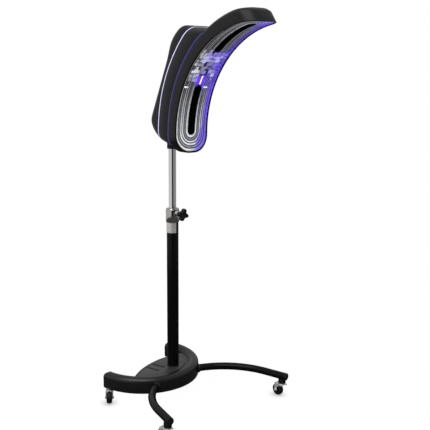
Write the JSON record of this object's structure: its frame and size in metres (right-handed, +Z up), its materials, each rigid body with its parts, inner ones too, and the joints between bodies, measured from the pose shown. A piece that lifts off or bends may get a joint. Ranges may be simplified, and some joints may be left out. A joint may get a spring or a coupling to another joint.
{
  "type": "hair color processor",
  "caption": "Salon hair colour processor: a curved lamp hood with clear lens and light lines on a clamped, height-adjustable mast over a weighted foot with splayed legs and casters.",
  "frame": {"origin": "on the floor, under the middle of the whole outline", "axes": "+Z up, +X the way the open side of the hood faces, +Y to the hood's left"},
  "size_m": [0.605, 0.535, 1.2746],
  "materials": {
    "shell": "charcoal satin moulding",
    "black_tube": "black powder coat, satin gloss",
    "panel": "black gloss",
    "foot": "dark grey textured moulding",
    "mat": "grey matt",
    "rubber": "black matt",
    "chrome": "polished",
    "zinc": "bright zinc plate",
    "steel": "grey steel",
    "iron": "raw casting",
    "label": "plain silver film",
    "nylon": "off-white",
    "lens": "clear moulding",
    "display": "dark clear window",
    "light_white": "white-violet diffuser, lit",
    "light_violet": "violet diffuser, lit",
    "reflector": "mirror bright sheet",
    "quartz": "quartz tube",
    "ceramic": "white ceramic",
    "electronics": "closed box"
  },
  "bodies": {
    "stand": {"base_shell": "foot", "tray_mat": "mat", "base_plate": "steel", "ballast": "iron", "leg_tube": "black_tube", "leg_cap_left": "rubber", "leg_cap_right": "rubber", "leg_socket_left": "rubber", "leg_socket_right": "rubber", "mast_flange": "steel", "lower_tube": "black_tube", "label_band": "label", "guide_bush": "nylon", "clamp_collar": "chrome"},
    "mast": {"upper_tube": "chrome", "tube_foot": "nylon", "neck_collar": "shell"},
    "pad": {"clamp_pad": "nylon"},
    "knob": {"star_knob": "shell", "clamp_screw": "zinc"},
    "front_right_swivel": {"front_right_fork": "zinc", "front_right_axle": "zinc"},
    "front_right_roller": {"front_right_wheel": "rubber"},
    "front_left_swivel": {"front_left_fork": "zinc", "front_left_axle": "zinc"},
    "front_left_roller": {"front_left_wheel": "rubber"},
    "rear_right_swivel": {"rear_right_fork": "zinc", "rear_right_axle": "zinc"},
    "rear_right_roller": {"rear_right_wheel": "rubber"},
    "rear_left_swivel": {"rear_left_fork": "zinc", "rear_left_axle": "zinc"},
    "rear_left_roller": {"rear_left_wheel": "rubber"},
    "key_1": {"button_1": "nylon"},
    "key_2": {"button_2": "nylon"},
    "key_3": {"button_3": "nylon"},
    "key_4": {"button_4": "nylon"},
    "rocker": {"power_switch": "rubber"},
    "hood": {"arch_shell": "shell", "lens_cover": "lens", "led_strip": "light_violet", "reflector": "reflector", "vent_lower": "shell", "vent_upper": "shell", "lamp_lower": "quartz", "lamp_upper": "quartz", "lamp_holder_lower": "ceramic", "lamp_holder_upper": "ceramic", "led_cluster": "lens", "front_light_strip": "light_violet", "mid_shell": "shell", "rear_light_strip": "light_white", "rear_cover": "shell", "neck_bracket": "steel", "power_supply": "electronics", "control_panel": "panel", "display_window": "display", "control_board": "electronics", "inlet_socket": "shell"}
  },
  "joints": [
    {"name": "mast_height", "type": "slide", "parent": "stand", "child": "mast", "axis": [0, 0, 1], "range_m": [-0.15, 0.19]},
    {"name": "hood_swivel", "type": "hinge", "parent": "mast", "child": "hood", "pos_m": [-0.12455, 0.00019, 0.9], "axis": [0, 0, 1], "range_deg": [-170, 170]},
    {"name": "clamp_pad_slide", "type": "slide", "parent": "stand", "child": "pad", "axis": [1, 0, 0], "range_m": [0, 0.0025]},
    {"name": "clamp_knob_turn", "type": "hinge", "parent": "pad", "child": "knob", "pos_m": [-0.08455, 0.00019, 0.633], "axis": [1, 0, 0], "range_deg": [0, 722]},
    {"name": "front_right_turn", "type": "hinge", "parent": "stand", "child": "front_right_swivel", "pos_m": [0.15964, -0.25041, 0.05], "axis": [0, 0, 1], "continuous": true},
    {"name": "front_right_roll", "type": "hinge", "parent": "front_right_swivel", "child": "front_right_roller", "pos_m": [0.14072, -0.25207, 0.02], "axis": [0.0872, -0.9962, 0], "continuous": true},
    {"name": "front_left_turn", "type": "hinge", "parent": "stand", "child": "front_left_swivel", "pos_m": [0.15964, 0.2508, 0.05], "axis": [0, 0, 1], "continuous": true},
    {"name": "front_left_roll", "type": "hinge", "parent": "front_left_swivel", "child": "front_left_roller", "pos_m": [0.14069, 0.25212, 0.02], "axis": [-0.0698, -0.9976, 0], "continuous": true},
    {"name": "rear_right_turn", "type": "hinge", "parent": "stand", "child": "rear_right_swivel", "pos_m": [-0.19107, -0.22177, 0.05], "axis": [0, 0, 1], "continuous": true},
    {"name": "rear_right_roll", "type": "hinge", "parent": "rear_right_swivel", "child": "rear_right_roller", "pos_m": [-0.17652, -0.23399, 0.02], "axis": [0.6428, 0.766, 0], "continuous": true},
    {"name": "rear_left_turn", "type": "hinge", "parent": "stand", "child": "rear_left_swivel", "pos_m": [-0.27968, 0.10893, 0.05], "axis": [0, 0, 1], "continuous": true},
    {"name": "rear_left_roll", "type": "hinge", "parent": "rear_left_swivel", "child": "rear_left_roller", "pos_m": [-0.27018, 0.12539, 0.02], "axis": [-0.866, 0.5, 0], "continuous": true},
    {"name": "button_1_press", "type": "slide", "parent": "hood", "child": "key_1", "axis": [0.9093, 0, -0.4161], "range_m": [0, 0.0012], "stiffness_N_per_m": 400, "springref_m": -0.0004},
    {"name": "button_2_press", "type": "slide", "parent": "hood", "child": "key_2", "axis": [0.9093, 0, -0.4161], "range_m": [0, 0.0012], "stiffness_N_per_m": 400, "springref_m": -0.0004},
    {"name": "button_3_press", "type": "slide", "parent": "hood", "child": "key_3", "axis": [0.9093, 0, -0.4161], "range_m": [0, 0.0012], "stiffness_N_per_m": 400, "springref_m": -0.0004},
    {"name": "button_4_press", "type": "slide", "parent": "hood", "child": "key_4", "axis": [0.9093, 0, -0.4161], "range_m": [0, 0.0012], "stiffness_N_per_m": 400, "springref_m": -0.0004},
    {"name": "power_switch_rock", "type": "hinge", "parent": "hood", "child": "rocker", "pos_m": [-0.16259, -0.01481, 0.98788], "axis": [0, -1, 0], "range_deg": [-8, 8]}
  ],
  "couplings": [
    {"joint": "clamp_knob_turn", "follows": "clamp_pad_slide", "rad_per_m": 5026.5}
  ]
}
